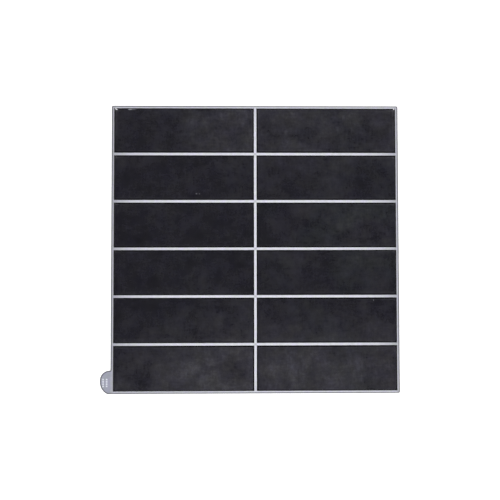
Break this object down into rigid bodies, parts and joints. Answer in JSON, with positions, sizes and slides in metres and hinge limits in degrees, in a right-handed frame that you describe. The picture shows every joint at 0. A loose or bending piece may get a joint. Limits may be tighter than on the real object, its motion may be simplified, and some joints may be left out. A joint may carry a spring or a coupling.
{
  "type": "peel and stick backsplash tile",
  "caption": "Square self-adhesive backsplash sheet: rows of long dark charcoal gel tiles on a thin pale grey film with a half-round overlap tab and a peel-off paper liner.",
  "frame": {"origin": "centre of the square sheet's underside, the tab left out", "axes": "+Z out of the tiled face, +X to the right and +Y up as the tiles are read on a wall"},
  "size_m": [0.3158, 0.3048, 0.0022],
  "materials": {
    "liner_paper": "satin",
    "grey_film": "satin",
    "charcoal_gel": "gloss"
  },
  "bodies": {
    "root": {"release_liner": "liner_paper", "printed_film": "grey_film", "gel_tile_row_1_left": "charcoal_gel", "gel_tile_row_1_right": "charcoal_gel", "gel_tile_row_2_left": "charcoal_gel", "gel_tile_row_2_right": "charcoal_gel", "gel_tile_row_3_left": "charcoal_gel", "gel_tile_row_3_right": "charcoal_gel", "gel_tile_row_4_left": "charcoal_gel", "gel_tile_row_4_right": "charcoal_gel", "gel_tile_row_5_left": "charcoal_gel", "gel_tile_row_5_right": "charcoal_gel", "gel_tile_row_6_left": "charcoal_gel", "gel_tile_row_6_right": "charcoal_gel"}
  },
  "joints": []
}
